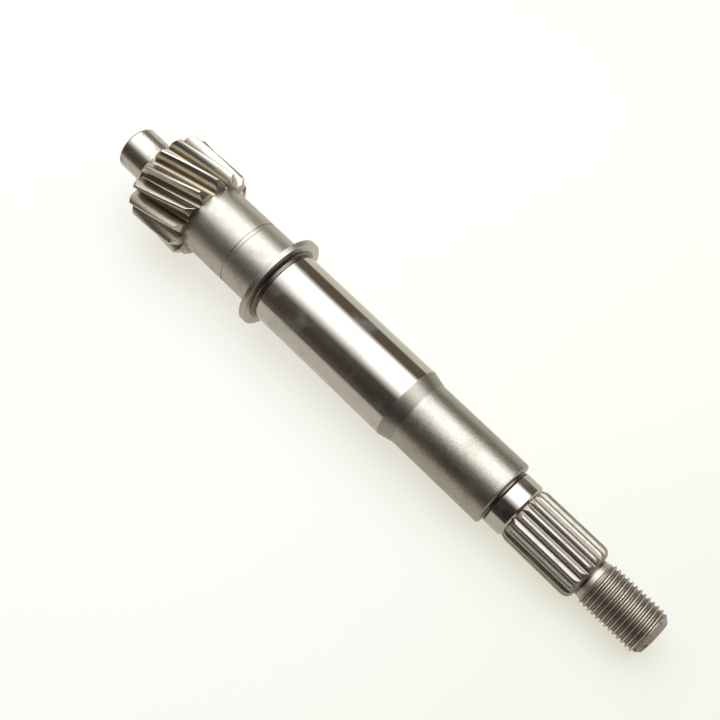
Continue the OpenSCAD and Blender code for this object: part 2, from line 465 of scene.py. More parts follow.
@dataclass(frozen=True)
class Pinion:
    """Helical pinion with involute flanks, filleted floors and bevelled tooth ends."""

    begin: float = PINION_BEGIN
    face: float = PINION_END - PINION_BEGIN
    module: float = 1.5
    helix: float = math.radians(15.0)
    pressure: float = math.radians(20.0)
    shift: float = 0.45
    fillet: float = 0.45
    pilot_bevel: float = 1.1
    collar_bevel: float = 1.4
    bevel_depth: float = 1.5
    turn: float = math.radians(4.6)
    edge: float = 0.1

    # Depth of the gaps in modules, then how columns and rings are shared out
    ROOT_DEPTH = 1.25
    FLANK_SHARES = np.array([1.0, 0.72, 0.46, 0.22, 0.0])
    FILLET_BENDS = np.radians([45.0, 0.0])
    FLOOR_SHARE = 0.55
    LEAST_TOP_SHARE = 0.3
    BEVEL_SHARES = np.array([0.2, 0.4, 0.6, 0.8, 1.0, 1.3])
    BEFORE_BEVEL = 0.3
    CLOSE_RINGS = 0.07
    FIRST_GAP = 0.5
    MIDDLE_RINGS = 22

    @property
    def cross_pressure(self) -> float:
        """Pressure angle in the plane across the shaft."""
        return math.atan(math.tan(self.pressure) / math.cos(self.helix))

    @property
    def pitch_radius(self) -> float:
        """Radius of the pitch circle."""
        return self.module * PINION_TEETH / math.cos(self.helix) / 2

    @property
    def base_radius(self) -> float:
        """Radius of the circle that the involute unwinds from."""
        return self.pitch_radius * math.cos(self.cross_pressure)

    @property
    def tip_radius(self) -> float:
        """Radius of the tooth tips."""
        return self.pitch_radius + self.module * (1 + self.shift)

    @property
    def root_radius(self) -> float:
        """Radius of the gap floors."""
        return self.pitch_radius - self.module * (self.ROOT_DEPTH - self.shift)

    @property
    def twist(self) -> float:
        """Turn of the teeth over the face, in radians."""
        return self.face * math.tan(self.helix) / self.pitch_radius

    @property
    def base_half_angle(self) -> float:
        """Half the angle that a tooth takes up at the base circle."""
        pitch = self.pitch_radius
        widening = 2 * self.shift * self.module * math.tan(self.cross_pressure)
        thickness = math.pi * pitch / PINION_TEETH + widening
        involute = math.tan(self.cross_pressure) - self.cross_pressure
        return thickness / pitch / 2 + involute

    def half_angle(self, radius: np.ndarray) -> np.ndarray:
        """Half angle of a tooth at a radius: the base half angle less the involute tan(a) - a,
        where cos(a) is the base radius over the radius."""
        slope = np.arccos(np.minimum(self.base_radius / radius, 1.0))
        return self.base_half_angle - (np.tan(slope) - slope)

    def tooth(self, top: np.ndarray) -> tuple[np.ndarray, np.ndarray]:
        """One tooth's outline at each station, from floor to floor.

        From the middle of the tooth outwards: top, edge of the top, involute flank, fillet as a
        quarter wave, floor. The other side is its mirror image.

        Args:
            top: tooth height at each station, as a radius.

        Returns:
            Radii and angles from the tooth's middle, stations by columns of one tooth.
        """
        top = top[:, None]
        rows = np.ones_like(top)
        start = max(self.base_radius, self.root_radius + self.fillet)
        flank = start + (top - self.edge - start) * self.FLANK_SHARES
        bend = self.FILLET_BENDS
        fillet = self.root_radius + (start - self.root_radius) * (1 - np.cos(bend))
        fillet_angle = self.base_half_angle + self.fillet / self.root_radius * (1 - np.sin(bend))
        to_floor = self.FLOOR_SHARE * (math.pi / PINION_TEETH - fillet_angle[-1:])
        floor_angle = fillet_angle[-1:] + to_floor
        top_half = self.half_angle(top)
        top_edge = np.maximum(top_half - self.edge / top, self.LEAST_TOP_SHARE * top_half)
        radius = np.hstack([top, flank, rows * fillet, rows * self.root_radius])
        angle = np.hstack([top_edge, self.half_angle(flank), rows * fillet_angle, rows * floor_angle])
        middle = np.hstack([radius[:, ::-1], top, radius])
        return middle, np.hstack([-angle[:, ::-1], 0.0 * top, angle])

    def stations(self) -> np.ndarray:
        """Places of the rings, from the pinion's own beginning: close at the bevels' ends."""
        close = self.CLOSE_RINGS
        left = self.pilot_bevel * self.BEVEL_SHARES
        bevel = np.array([-self.BEFORE_BEVEL, -close, 0.0, close])
        right = self.face - self.collar_bevel + bevel
        first = left[-1] + self.FIRST_GAP
        middle = np.linspace(first, right[0] - self.FIRST_GAP, self.MIDDLE_RINGS)
        ends = np.array([0.0, close, self.face - close, self.face])
        return np.sort(np.concatenate([ends, left, middle, right]))

    def patch(self) -> Patch:
        """The toothed skin: at each station the tooth outline, cut down by the bevels and turned
        by the helix, with the flat tooth ends closed down to the hub and to the journal. The
        bevel at the pilot is rounded: half a straight slope and half a quarter circle.

        Returns:
            The patch.
        """
        place = self.stations()
        low = 1 - np.minimum(place / self.pilot_bevel, 1.0)
        high = 1 - np.minimum((self.face - place) / self.collar_bevel, 1.0)
        drop = (low + 1 - np.sqrt(1 - low**2)) / 2 + high
        tooth = self.tooth(self.tip_radius - self.bevel_depth * drop)
        turn = self.turn - self.twist * place / self.face
        ends = (HUB_RADIUS, JOURNAL_RADIUS)
        return toothed_patch(self.begin + place, tooth, turn, PINION_TEETH, ends, Zone.PINION)

    @property
    def first_phase(self) -> float:
        """Phase of even columns that meets the teeth at the pinion's beginning."""
        return self.turn - 2 * math.pi * (PINION_COLUMNS // 2) / COLUMNS

    @property
    def last_phase(self) -> float:
        """Phase of even columns that meets the teeth at the pinion's end."""
        return self.first_phase - self.twist


@dataclass(frozen=True)
class PilotEnd:
    """Pilot journal with its lathe centre, end chamfer and the shoulder before the pinion."""

    radius: float = 6.0
    length: float = 10.0
    chamfer: float = 0.5

    def outline(self) -> list[Corner]:
        """The outline from the bottom of the lathe centre to the pinion.

        Returns:
            The outline's corners.
        """
        return [
            Corner(CENTRE_DEPTH, 0.0, Zone.TURNED),
            Corner(0.0, CENTRE_RADIUS, Zone.TURNED, setback=0.08),
            Corner(0.0, self.radius - self.chamfer, Zone.PILOT, setback=0.12),
            Corner(self.chamfer, self.radius, Zone.PILOT, setback=0.2),
            Corner(self.length, self.radius, Zone.PINION, setback=0.15),
            Corner(self.length, HUB_RADIUS, Zone.PINION, setback=0.1),
            Corner(PINION_BEGIN, HUB_RADIUS, Zone.PINION),
        ]


@dataclass(frozen=True)
class MiddleShaft:
    """Plain journal, collar, ground seat with its relief, cone, shank and sleeve journal."""

    groove_begin: float = 42.5
    groove_end: float = 43.7
    groove_depth: float = 0.2
    corner_begin: float = 52.65
    corner_depth: float = 0.12
    collar_begin: float = 53.0
    collar_end: float = 54.5
    collar_radius: float = 13.0
    line_begin: float = 55.55
    relief_end: float = 55.75
    relief_depth: float = 0.2
    seat_begin: float = 56.0
    seat_end: float = 98.0
    seat_radius: float = 10.0
    shank_begin: float = 102.1
    shank_end: float = 129.5
    shank_radius: float = 9.0
    undercut_end: float = 130.0
    sleeve_begin: float = 130.5
    sleeve_end: float = 134.9
    sleeve_radius: float = 7.5
    undercut_depth: float = 0.3

    def outline(self) -> list[Corner]:
        """The outline from the pinion to the notch before the spline.

        Returns:
            The outline's corners.
        """
        groove = JOURNAL_RADIUS - self.groove_depth
        corner = JOURNAL_RADIUS - self.corner_depth
        relief = self.seat_radius - self.relief_depth
        undercut = self.sleeve_radius - self.undercut_depth
        return [
            Corner(PINION_END, JOURNAL_RADIUS, Zone.SATIN),
            Corner(self.groove_begin, JOURNAL_RADIUS, Zone.SATIN, setback=0.06),
            Corner(self.groove_begin, groove, Zone.SATIN, setback=0.06),
            Corner(self.groove_end - self.groove_depth, groove, Zone.SATIN, setback=0.04),
            Corner(self.groove_end, JOURNAL_RADIUS, Zone.SATIN, setback=0.05),
            Corner(self.corner_begin, JOURNAL_RADIUS, Zone.SATIN, setback=0.03),
            Corner(self.corner_begin + self.corner_depth, corner, Zone.SATIN, setback=0.03),
            Corner(self.collar_begin, corner, Zone.RIM, setback=0.06),
            Corner(self.collar_begin, self.collar_radius, Zone.RIM, setback=0.15),
            Corner(self.collar_end, self.collar_radius, Zone.FACE, setback=0.2),
            # The fillet under the collar's face, the relief floor up to its turned line and the slope
            # up to the seat carry painted shade
            Corner(self.collar_end, relief, Zone.FOOT, setback=1.0),
            Corner(self.line_begin, relief, Zone.TURNED),
            Corner(self.relief_end, relief, Zone.FOOT, setback=0.05),
            Corner(self.seat_begin, self.seat_radius, Zone.GROUND, setback=0.06),
            Corner(self.seat_end, self.seat_radius, Zone.CONE, setback=0.15),
            Corner(self.shank_begin, self.shank_radius, Zone.SHANK, setback=0.25),
            Corner(self.shank_end, self.shank_radius, Zone.SHANK, setback=0.75),
            # The undercut before the sleeve carries painted shade
            Corner(self.shank_end, undercut, Zone.FOOT, setback=0.1),
            Corner(self.undercut_end, undercut, Zone.FOOT, setback=0.05),
            Corner(self.sleeve_begin, self.sleeve_radius, Zone.GROUND, setback=0.06),
            Corner(self.sleeve_end, self.sleeve_radius, Zone.GROUND, setback=0.08),
            Corner(SPLINE_BEGIN, NOTCH_RADIUS, Zone.GROUND),
        ]


@dataclass(frozen=True)
class Spline:
    """Straight spline with sloping flanks, a bevelled lead-in and a rounded end."""

    begin: float = SPLINE_BEGIN
    length: float = SPLINE_END - SPLINE_BEGIN
    top_radius: float = 7.4
    root_radius: float = 6.75
    land: float = 0.6
    floor: float = 0.3
    bevel_length: float = 1.3
    round_end: float = 2.1
    turn: float = math.radians(16.5 - 2 * 360.0 / SPLINE_TEETH)
    edge: float = 0.09

    # How rings and columns are shared out
    LEAD_SHARES = np.array([0.0, 0.25, 0.4, 0.6, 0.8, 0.95, 1.05, 1.25])
    MIDDLE_BEGIN = 2.2
    MIDDLE_GAP = 0.5
    MIDDLE_RINGS = 7
    TAIL_GAP = 0.12
    TAIL_RINGS = 9
    LAND_SHARE = 0.4
    FLANK_SHARES = np.array([1.0, 0.5, 0.14])
    FOOT_REACH = 0.06
    FOOT_RISE = 0.01
    FLOOR_GAP = 0.006

    def stations(self) -> np.ndarray:
        """Places of the rings, from the spline's own beginning: close where the ends bend."""
        lead = self.bevel_length * self.LEAD_SHARES
        last = self.length - self.round_end - self.MIDDLE_GAP
        middle = np.linspace(self.MIDDLE_BEGIN, last, self.MIDDLE_RINGS)
        turn = np.linspace(0.0, np.pi / 2, self.TAIL_RINGS)
        tail = self.length - self.round_end * (1 - np.sin(turn))
        return np.concatenate([lead, middle, [tail[0] - self.TAIL_GAP], tail])

    def height(self, place: np.ndarray) -> np.ndarray:
        """Tooth height as a radius: it climbs along the lead-in bevel, stays level, and falls
        along a quarter circle at the end."""
        depth = self.top_radius - NOTCH_RADIUS
        climb = self.top_radius - depth * (1 - np.minimum(place / self.bevel_length, 1))
        past = np.maximum(place - (self.length - self.round_end), 0.0)
        drop = self.round_end - np.sqrt(np.maximum(self.round_end**2 - past**2, 0.0))
        return climb - drop

    def tooth(self, top: np.ndarray) -> tuple[np.ndarray, np.ndarray]:
        """One tooth's outline at each station: land, edge, straight flank, fillet and floor on
        one side, and their mirror image on the other.

        Args:
            top: tooth height at each station, as a radius.

        Returns:
            Radii and angles from the tooth's middle, stations by columns of one tooth.
        """
        top = top[:, None]
        rows = np.ones_like(top)
        half_pitch = math.pi / SPLINE_TEETH
        land_half = self.land / 2 / self.top_radius
        foot_half = half_pitch - self.floor / 2 / self.root_radius
        capped = np.clip(top, self.root_radius, self.top_radius)
        rise = (capped - self.root_radius) / (self.top_radius - self.root_radius)
        corner = foot_half + (land_half - foot_half) * rise
        share = self.FLANK_SHARES
        edge_angle = self.edge / self.top_radius
        flank_angle = corner + (foot_half - corner) * (1 - share) + edge_angle * share * rise
        flank_radius = self.root_radius + (capped - self.root_radius) * share
        flank_radius[:, :1] -= self.edge * rise
        foot_end = foot_half + self.FOOT_REACH / self.root_radius
        floor_angle = np.array([foot_end, half_pitch - self.FLOOR_GAP])
        inner = np.hstack([self.LAND_SHARE * corner, corner - edge_angle * rise])
        angle = np.hstack([inner, flank_angle, rows * floor_angle])
        floor_radius = self.root_radius + np.array([self.FOOT_RISE, 0.0])
        radius = np.hstack([capped, capped, flank_radius, rows * floor_radius])
        radius = np.minimum(radius, top)
        return np.hstack([radius[:, ::-1], radius]), np.hstack([-angle[:, ::-1], angle])

    def patch(self) -> Patch:
        """The toothed skin, with its first ring on the notch and its last one on the neck. In the
        gaps the notch's slope of 45 degrees runs on down to the floors.

        Returns:
            The patch.
        """
        place = self.stations()
        tooth = self.tooth(self.height(place))
        turn = np.full(len(place), self.turn)
        ends = (NOTCH_RADIUS, NECK_RADIUS)
        patch = toothed_patch(self.begin + place, tooth, turn, SPLINE_TEETH, ends, Zone.SPLINE)
        patch.along[1] += NOTCH_RADIUS - patch.radius[1]
        return patch


@dataclass(frozen=True)
class ThreadedEnd:
    """Neck, cut thread with run-out and chamfered tip, end face and lathe centre."""

    shade_end: float = 156.65
    flare_begin: float = 156.95
    flare_radius: float = 5.28
    cone_begin: float = 157.8
    cone_end: float = 158.6
    thread_begin: float = 158.3
    radius: float = 6.0
    pitch: float = 1.25
    depth: float = 0.7
    crest_at: float = 165.9
    crest_angle: float = math.radians(109.3)
    chamfer_begin: float = 173.6
    tip: float = 175.4
    tip_radius: float = 4.4

    # Turns beyond either end, then the profile as shares of the pitch and of the depth
    SPARE_TURNS = 2
    PROFILE_SHARES = np.array([0.0, 0.12, 0.27, 0.40, 0.445, 0.555, 0.60, 0.73, 0.88])
    PROFILE_LEVELS = np.array([0.0, 0.03, 0.47, 0.93, 1.0, 1.0, 0.93, 0.47, 0.03])

    def neck_outline(self) -> list[Corner]:
        """The outline of the neck between spline and thread.

        Returns:
            The outline's corners.
        """
        return [
            # The neck beside the spline, up to shade_end, carries painted shade
            Corner(SPLINE_END, NECK_RADIUS, Zone.FOOT),
            Corner(self.shade_end, NECK_RADIUS, Zone.NECK),
            Corner(self.flare_begin, NECK_RADIUS, Zone.NECK, setback=0.25),
            Corner(self.cone_begin, self.flare_radius, Zone.NECK),
        ]

    def end_outline(self) -> list[Corner]:
        """The outline of the end face with its lathe centre.

        Returns:
            The outline's corners.
        """
        return [
            Corner(self.tip, self.tip_radius, Zone.TURNED),
            Corner(self.tip, CENTRE_RADIUS, Zone.TURNED, setback=0.08),
            Corner(self.tip - CENTRE_DEPTH, 0.0, Zone.TURNED),
        ]

    def envelope(self, along: np.ndarray) -> np.ndarray:
        """Largest radius at a place: it climbs up the neck's cone, stays level, and falls along
        the chamfer of the tip."""
        knots = [self.cone_begin, self.cone_end, self.chamfer_begin, self.tip]
        levels = [self.flare_radius, self.radius, self.radius, self.tip_radius]
        return np.interp(along, knots, levels)

    def thread(self, phase: float) -> Patch:
        """The thread as a sheared grid: each ring climbs one pitch per turn, so that rings follow
        crests, flanks and roots. The profile's shares of a pitch give the rings of one turn and
        its levels give their heights. The radius is that profile or the envelope, whichever is
        less, and what lies before or after the threaded stretch is pressed onto its end.

        Args:
            phase: angle of the first column, radians.

        Returns:
            The patch.
        """
        angle = even_angles(phase)
        lag = self.pitch * (angle - self.crest_angle) / (2 * np.pi)
        back = math.ceil((self.crest_at + lag[0] - self.cone_begin) / self.pitch) + self.SPARE_TURNS
        turns = math.ceil((self.tip - self.cone_begin) / self.pitch) + 2 * self.SPARE_TURNS
        offset = (np.arange(turns)[:, None] + self.PROFILE_SHARES).ravel() - back
        along = self.crest_at + offset[:, None] * self.pitch + lag[None]
        profile = np.tile(self.PROFILE_LEVELS, turns)[:, None]
        radius = self.radius - self.depth * (1 - profile)
        along = np.clip(along, self.cone_begin, self.tip)
        radius = np.minimum(radius, self.envelope(along))
        angle = np.repeat(angle[None], len(along), axis=0)
        zones = np.where(along[:-1] < self.chamfer_begin, int(Zone.THREAD), int(Zone.TIP))
        zones = np.where(along[:-1] < self.thread_begin, int(Zone.NECK), zones)
        return Patch(along, radius, angle, zones, wrap=len(self.PROFILE_SHARES))


@dataclass(frozen=True)
class ShaftSkin:
    """The whole skin of the shaft, one closed mesh."""

    pose: Pose
    pilot: PilotEnd = PilotEnd()
    pinion: Pinion = Pinion()
    middle: MiddleShaft = MiddleShaft()
    spline: Spline = Spline()
    threaded: ThreadedEnd = ThreadedEnd()

    SHARP = math.radians(30.0)
    WELD = 0.004 * MM

    def patches(self) -> list[Patch]:
        """All zones in order, each beginning on the ring where the last one ended."""
        teeth = self.pinion.patch()
        pilot = turned_patch(self.pilot.outline(), self.pinion.first_phase)
        pilot.angle[-CORNER_RINGS:] = teeth.angle[0]
        phase = self.pinion.last_phase
        middle = turned_patch(self.middle.outline(), phase, teeth.angle[-1])
        spline = self.spline.patch()
        middle.angle[-CORNER_RINGS:] = spline.angle[0]
        neck = turned_patch(self.threaded.neck_outline(), phase, spline.angle[-1])
        thread = self.threaded.thread(phase)
        end_face = turned_patch(self.threaded.end_outline(), phase)
        return [pilot, teeth, middle, spline, neck, thread, end_face]

    def mesh(self) -> bpy.types.Mesh:
        """Puts all patches into one mesh and welds rings and poles that lie on each other.

        Returns:
            The closed mesh, with a finish number on each face.
        """
        patches = self.patches()
        counts = np.cumsum([0] + [p.along.size for p in patches])
        points = np.vstack(
            [self.pose.place(p.along, p.radius, p.angle).reshape(-1, 3) for p in patches]
        )
        quads = np.vstack([p.quads() + start for p, start in zip(patches, counts)])
        zones = np.concatenate([p.quad_zones() for p in patches])
        mesh = bpy.data.meshes.new(PIECE)
        mesh.from_pydata(points, [], quads)
        mesh.polygons.foreach_set("material_index", zones.astype(np.int32))
        mesh.polygons.foreach_set("use_smooth", np.ones(len(quads), bool))
        work = bmesh.new()
        work.from_mesh(mesh)
        bmesh.ops.remove_doubles(work, verts=work.verts, dist=self.WELD)
        work.to_mesh(mesh)
        open_edges = sum(not edge.is_manifold for edge in work.edges)
        work.free()
        mesh.set_sharp_from_angle(angle=self.SHARP)
        mesh.update()
        LOG.info("%s: %d faces, %d open edges", PIECE, len(mesh.polygons), open_edges)
        return mesh

    def build(self, finishes: Sequence[bpy.types.Material]) -> bpy.types.Object:
        """Makes the skin's object and dresses it.

        Args:
            finishes: materials in the order of the zones.

        Returns:
            The object, at the origin.
        """
        mesh = self.mesh()
        for finish in finishes:
            mesh.materials.append(finish)
        skin = bpy.data.objects.new(PIECE, mesh)
        bpy.context.scene.collection.objects.link(skin)
        return skin


# Finishes of the steel


@dataclass(frozen=True)
class SteelFinish:
    """A bare-steel finish: its reflectance, its gloss, the grain of its surface, the lines that a
    turning or grinding tool left, its stains with their share of dull film, its pits, and with the
    crest pattern the darker colour of the valleys between teeth and thread turns, which is painted
    shade. Heights are in microns."""

    name: str
    tint: Colour
    roughness: float
    grain_size: float = 0.25
    grain_stretch: float = 1.0
    grain_rough: float = 0.06
    grain_tint: float = 0.08
    grain_height: float = 0.0
    line_pitch: float = 0.2
    line_rough: float = 0.04
    line_tint: float = 0.05
    line_height: float = 0.0
    stain: float = 0.15
    stain_size: float = 7.0
    stain_tint: Colour = (0.2, 0.165, 0.13)
    stain_rough: float = 0.3
    film: float = 0.0
    pits: float = 0.0
    pattern: Pattern = Pattern.PLAIN
    crest: Fade = (5.6, 5.95)
    # Colour of the valleys between teeth: painted shade in the gaps
    valley_shade: Colour = (0.34, 0.3, 0.255)

    # Values that all finishes share
    NOISE_MEAN = 0.5
    LINE_DETAIL = 3.0
    LINE_CRISPNESS = 0.6
    GRAIN_DETAIL = 2.0
    STAIN_DETAIL = 3.0
    STAIN_FADE = (0.5, 0.72)
    PIT_CELL = 2.6
    PIT_CORE = (0.04, 0.09)
    PIT_CHOICE = (0.86, 0.9)
    PIT_DARKENING = 0.6
    PIT_ROUGHENING = 0.2

    def material(self, pose: Pose) -> bpy.types.Material:
        """Builds the material on the shaft's own coordinates.

        Lines are a one-way noise along the shaft, grain and stains are noises in space, and pits
        are the cores of scattered cells. They shift the colour and the gloss and feed the bump.

        Args:
            pose: where the shaft lies.

        Returns:
            The material.
        """
        material, sheet = new_material(self.name)
        turned = sheet.make(
            "ShaderNodeMapping",
            {"vector_type": "TEXTURE"},
            {"Vector": sheet.place(), "Location": pose.origin, "Rotation": (0.0, pose.tilt, 0.0)},
        )
        lines = self.tool_lines(sheet, sheet.axes(turned)[0])
        stretch = (1 / self.grain_stretch, 1.0, 1.0)
        drawn = sheet.make("ShaderNodeVectorMath", {"operation": "MULTIPLY"}, {0: turned, 1: stretch})
        grain = self.noise(sheet, drawn, self.grain_size, self.GRAIN_DETAIL)
        cloud = self.noise(sheet, turned, self.stain_size, self.STAIN_DETAIL)
        stain = cloud.step(*self.STAIN_FADE) * self.stain
        grain_sway = (grain - self.NOISE_MEAN) * 2.0
        line_sway = (lines - self.NOISE_MEAN) * 2.0
        light = 1 + grain_sway * self.grain_tint + line_sway * self.line_tint
        rough = self.roughness + grain_sway * self.grain_rough + line_sway * self.line_rough
        rough = rough + stain * self.stain_rough
        height = grain * self.grain_height + lines * self.line_height
        if self.pits > 0:
            pit = self.pit_mask(sheet, turned)
            light = light * (1 - pit * self.PIT_DARKENING)
            rough = rough + pit * self.PIT_ROUGHENING
            height = height - pit * self.pits
        tint: Value = self.tint
        if self.pattern is Pattern.CRESTS:
            tint = self.crest_tint(sheet, turned)
        colour = sheet.mix(stain, sheet.scale(tint, light), self.stain_tint)
        inputs = {"Strength": 1.0, "Distance": MICRON, "Height": height}
        bump = sheet.make("ShaderNodeBump", {}, inputs)
        metal: Operand = 1 - stain * self.film if self.film > 0 else 1.0
        surface = sheet.make(
            "ShaderNodeBsdfPrincipled",
            {},
            {"Base Color": colour, "Metallic": metal, "Roughness": rough, "Normal": bump},
        )
        sheet.close(surface)
        return material

    def tool_lines(self, sheet: NodeSheet, along: Shade) -> Shade:
        """Lines round the shaft: a noise of the place along it alone.

        Args:
            sheet: the material's tree.
            along: place along the shaft, metres.

        Returns:
            The noise.
        """
        inputs = {
            "W": along * (1 / MM),
            "Scale": 1 / self.line_pitch,
            "Detail": self.LINE_DETAIL,
            "Roughness": self.LINE_CRISPNESS,
        }
        return sheet.make("ShaderNodeTexNoise", {"noise_dimensions": "1D"}, inputs)

    @staticmethod
    def noise(sheet: NodeSheet, place: Shade, size: float, detail: float) -> Shade:
        """Noise in space whose lumps have about the given size in mm."""
        inputs = {"Vector": place, "Scale": 1 / (size * MM), "Detail": detail}
        return sheet.make("ShaderNodeTexNoise", {}, inputs)

    def pit_mask(self, sheet: NodeSheet, place: Shade) -> Shade:
        """Small round cores of scattered cells, kept in the cells whose random colour is high.

        Args:
            sheet: the material's tree.
            place: point on the shaft's own axes.

        Returns:
            The mask, 1 inside a pit.
        """
        inputs = {"Vector": place, "Scale": 1 / (self.PIT_CELL * MM)}
        core = sheet.make("ShaderNodeTexVoronoi", {"feature": "F1"}, inputs)
        cell = Shade(sheet, core.socket.node.outputs["Color"])
        chosen = sheet.axes(cell)[0].step(*self.PIT_CHOICE)
        return (1 - core.step(*self.PIT_CORE)) * chosen

    def crest_tint(self, sheet: NodeSheet, place: Shade) -> Shade:
        """Lighter crests over darker valleys, where the valleys' colour is painted shade in the gaps:
        the colour of the valleys and that of the crests, mixed by a smooth step of the distance from
        the shaft's axis.

        Args:
            sheet: the material's tree.
            place: point on the shaft's own axes.

        Returns:
            The colour.
        """
        flat = sheet.make("ShaderNodeVectorMath", {"operation": "MULTIPLY"}, {0: place, 1: (0, 1, 1)})
        reach = sheet.make("ShaderNodeVectorMath", {"operation": "LENGTH"}, {0: flat}, output="Value")
        low, high = self.crest
        share = reach.step(low * MM, high * MM)
        return sheet.mix(share, self.valley_shade, self.tint)


STEEL: Colour = (0.4, 0.363, 0.303)
RUST: Colour = (0.2, 0.11, 0.065)
SMUDGE: Colour = (0.25, 0.19, 0.135)

FINISHES: dict[Zone, SteelFinish] = {
    Zone.GROUND: SteelFinish(
        "ground_steel",
        STEEL,
        roughness=0.08,
        grain_size=0.35,
        grain_rough=0.02,
        grain_tint=0.1,
        line_pitch=0.12,
        line_rough=0.02,
        line_tint=0.04,
        stain=1.0,
        stain_size=7.0,
        stain_tint=(0.37, 0.345, 0.3),
        stain_rough=0.05,
        film=0.2,
        pits=3.0,
    ),
    Zone.PILOT: SteelFinish(
        "worn_ground_steel",
        STEEL,
        roughness=0.21,
        grain_size=0.4,
        grain_tint=0.12,
        grain_height=1.0,
        stain=0.5,
        stain_size=2.0,
        stain_tint=RUST,
        pits=4.0,
    ),
    Zone.SATIN: SteelFinish(
        "satin_steel",
        (0.39, 0.35, 0.29),
        roughness=0.4,
        grain_size=0.4,
        grain_height=4.0,
        grain_tint=0.3,
        line_pitch=0.3,
        stain=0.2,
        stain_size=3.5,
        stain_tint=SMUDGE,
    ),
    Zone.SHANK: SteelFinish(
        "shank_steel",
        (0.32, 0.285, 0.234),
        roughness=0.365,
        grain_size=0.4,
        grain_height=6.0,
        grain_tint=0.5,
        line_pitch=0.3,
        stain=0.2,
        stain_size=5.0,
        stain_tint=SMUDGE,
    ),
    Zone.TURNED: SteelFinish(
        "turned_steel",
        (0.3, 0.27, 0.225),
        roughness=0.3,
        line_pitch=0.11,
        line_height=4.0,
        line_tint=0.15,
    ),
    Zone.PINION: SteelFinish(
        "tooth_steel",
        (0.43, 0.382, 0.31),
        roughness=0.28,
        grain_rough=0.02,
        grain_tint=0.03,
        line_rough=0.0,
        line_tint=0.0,
        stain=0.35,
        stain_size=3.0,
        stain_tint=(0.3, 0.22, 0.14),
        pattern=Pattern.CRESTS,
        crest=(9.8, 12.4),
        # The valleys' colour is painted shade between the teeth
        valley_shade=(0.28, 0.223, 0.16),
    ),
    Zone.SPLINE: SteelFinish(
        "rolled_steel",
        (0.36, 0.325, 0.272),
        roughness=0.4,
        grain_size=0.35,
        grain_stretch=7.0,
        grain_tint=0.3,
        grain_height=3.0,
        stain=0.3,
        stain_size=2.5,
        stain_tint=SMUDGE,
        pattern=Pattern.CRESTS,
        crest=(6.8, 7.3),
        # The valleys' colour is painted shade between the spline teeth
        valley_shade=(0.26, 0.213, 0.166),
    ),
    Zone.NECK: SteelFinish("neck_steel", (0.45, 0.4, 0.325), roughness=0.46),
    Zone.THREAD: SteelFinish(
        "thread_steel",
        (0.52, 0.47, 0.388),
        roughness=0.46,
        grain_size=0.3,
        stain=0.3,
        stain_size=2.0,
        stain_tint=(0.22, 0.165, 0.11),
        pattern=Pattern.CRESTS,
        crest=(5.65, 5.97),
        # The valleys' colour is painted shade between the thread turns
        valley_shade=(0.275, 0.229, 0.176),
    ),
    Zone.RIM: SteelFinish("rim_steel", (0.345, 0.313, 0.262), roughness=0.36, line_pitch=0.15),
    Zone.FACE: SteelFinish(
        "collar_face_steel",
        (0.45, 0.41, 0.335),
        roughness=0.38,
        line_pitch=0.15,
    ),
    # Dark brown painted shade for the recesses at the collar, before the sleeve and beside the spline
    Zone.FOOT: SteelFinish(
        "painted_shade_steel",
        (0.145, 0.112, 0.091),
        roughness=0.3,
        line_pitch=0.11,
        line_tint=0.15,
        stain=0.3,
        stain_size=2.0,
        stain_tint=(0.12, 0.085, 0.065),
    ),
    Zone.CONE: SteelFinish(
        "cone_steel",
        (0.27, 0.238, 0.195),
        roughness=0.37,
        line_pitch=0.11,
        line_height=2.0,
        line_tint=0.12,
    ),
    Zone.TIP: SteelFinish(
        "tip_steel",
        (0.47, 0.4, 0.318),
        roughness=0.75,
        stain=0.6,
        stain_size=1.2,
        stain_tint=RUST,
    ),
}


# Stage, light and camera

SURROUNDINGS: Colour = (1.0, 1.0, 0.95)


def link_surface(name: str, points: np.ndarray) -> bpy.types.Object:
    """Makes an open sheet from a grid of points and links it to the scene.

    Args:
        name: name of the object.
        points: rows by columns by 3, in metres.

    Returns:
        The object.
    """
    rows, columns = points.shape[:2]
    number = np.arange(rows * columns).reshape(rows, columns)
    corners = (number[:-1, :-1], number[:-1, 1:], number[1:, 1:], number[1:, :-1])
    quads = np.stack(corners, axis=-1).reshape(-1, 4)
    mesh = bpy.data.meshes.new(name)
    mesh.from_pydata(points.reshape(-1, 3), [], quads)
    mesh.update()
    sheet = bpy.data.objects.new(name, mesh)
    bpy.context.scene.collection.objects.link(sheet)
    return sheet


